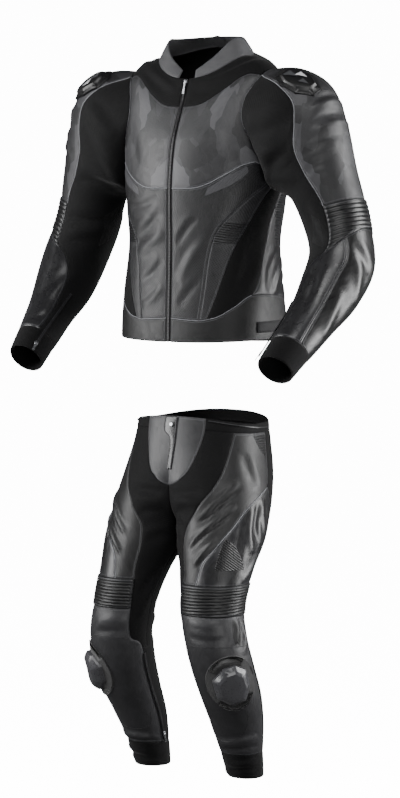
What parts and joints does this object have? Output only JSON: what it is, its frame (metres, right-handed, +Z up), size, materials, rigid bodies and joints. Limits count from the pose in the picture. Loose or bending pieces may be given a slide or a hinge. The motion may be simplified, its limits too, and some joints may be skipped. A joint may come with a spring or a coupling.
{
  "type": "motorcycle race suit",
  "caption": "Two-piece leather race suit filled out as worn: jacket with collar and full zip above trousers, with shoulder plates and knee pucks; hollow, open at neck, cuffs, hem and ankles.",
  "frame": {"origin": "middle of the neck at the height of the shoulder line, where the wearer's shoulders hold the jacket", "axes": "+Z up, the suit's front faces -Y, the wearer's left is +X"},
  "size_m": [0.8646, 0.4241, 1.689],
  "materials": {
    "cowhide_dark": "near-black grained cowhide, partly perforated, satin",
    "cowhide_grey": "dark grey smooth cowhide with a tonal splinter print, semi-gloss",
    "stretch_fabric": "black four-way stretch fabric, matt",
    "ribbed_stretch": "black ribbed stretch with leather ribs",
    "neoprene": "black neoprene cuff, matt",
    "hook_and_loop": "black hook-and-loop pad, dull pile",
    "strap_web": "black woven strap",
    "zip_tape": "black zip tape with its closed chain",
    "hard_plastic": "dark grey moulded polyurethane, glossy facets",
    "nickel": "nickel-plated zinc pull"
  },
  "bodies": {
    "suit": {"back": "cowhide_dark", "chest_L": "cowhide_grey", "chest_R": "cowhide_grey", "front_L": "cowhide_dark", "front_R": "cowhide_dark", "rib_strip_L": "ribbed_stretch", "rib_strip_R": "ribbed_stretch", "side_L": "stretch_fabric", "side_R": "stretch_fabric", "neck_yoke": "stretch_fabric", "collar": "cowhide_grey", "hem_band_L": "cowhide_dark", "hem_band_R": "cowhide_dark", "waist_strap_L": "strap_web", "waist_strap_R": "strap_web", "shoulder_L": "cowhide_grey", "shoulder_R": "cowhide_grey", "inner_sleeve_L": "stretch_fabric", "inner_sleeve_R": "stretch_fabric", "elbow_L": "ribbed_stretch", "elbow_R": "ribbed_stretch", "forearm_front_L": "cowhide_dark", "forearm_front_R": "cowhide_dark", "forearm_outer_L": "cowhide_grey", "forearm_outer_R": "cowhide_grey", "sleeve_cuff_L": "neoprene", "sleeve_cuff_R": "neoprene", "shoulder_plate_L": "hard_plastic", "shoulder_plate_R": "hard_plastic", "cuff_zip_L": "zip_tape", "cuff_zip_R": "zip_tape", "front_zip": "zip_tape", "waistband": "stretch_fabric", "fly_panel": "cowhide_grey", "fly_flap": "cowhide_dark", "stretch_front_L": "stretch_fabric", "stretch_front_R": "stretch_fabric", "thigh_front_L": "cowhide_dark", "thigh_front_R": "cowhide_dark", "thigh_outer_L": "cowhide_grey", "thigh_outer_R": "cowhide_grey", "leg_back_L": "stretch_fabric", "leg_back_R": "stretch_fabric", "knee_accordion_L": "cowhide_dark", "knee_accordion_R": "cowhide_dark", "shin_L": "cowhide_dark", "shin_R": "cowhide_dark", "leg_cuff_L": "stretch_fabric", "leg_cuff_R": "stretch_fabric", "knee_pad_L": "hook_and_loop", "knee_pad_R": "hook_and_loop", "knee_puck_L": "hard_plastic", "knee_puck_R": "hard_plastic", "calf_zip_L": "zip_tape", "calf_zip_R": "zip_tape"},
    "front_pull": {"front_pull": "nickel"},
    "cuff_zip_pull_L": {"cuff_zip_pull_L": "nickel"},
    "calf_zip_pull_L": {"calf_zip_pull_L": "nickel"},
    "cuff_zip_pull_R": {"cuff_zip_pull_R": "nickel"},
    "calf_zip_pull_R": {"calf_zip_pull_R": "nickel"}
  },
  "joints": [
    {"name": "front_pull_hinge", "type": "hinge", "parent": "suit", "child": "front_pull", "pos_m": [0, -0.08028, -0.02715], "axis": [-1, 0, 0], "range_deg": [0, 140]},
    {"name": "cuff_zip_pull_L_hinge", "type": "hinge", "parent": "suit", "child": "cuff_zip_pull_L", "pos_m": [0.29962, -0.24241, -0.61986], "axis": [-0.6537, 0.5444, -0.5257], "range_deg": [0, 140]},
    {"name": "calf_zip_pull_L_hinge", "type": "hinge", "parent": "suit", "child": "calf_zip_pull_L", "pos_m": [0.07377, -0.05598, -1.5306], "axis": [-0.1406, 0.9314, 0.3356], "range_deg": [0, 140]},
    {"name": "cuff_zip_pull_R_hinge", "type": "hinge", "parent": "suit", "child": "cuff_zip_pull_R", "pos_m": [-0.29962, -0.24241, -0.61986], "axis": [-0.6537, -0.5444, 0.5257], "range_deg": [0, 140]},
    {"name": "calf_zip_pull_R_hinge", "type": "hinge", "parent": "suit", "child": "calf_zip_pull_R", "pos_m": [-0.07377, -0.05598, -1.5306], "axis": [-0.1406, -0.9314, -0.3356], "range_deg": [0, 140]}
  ]
}
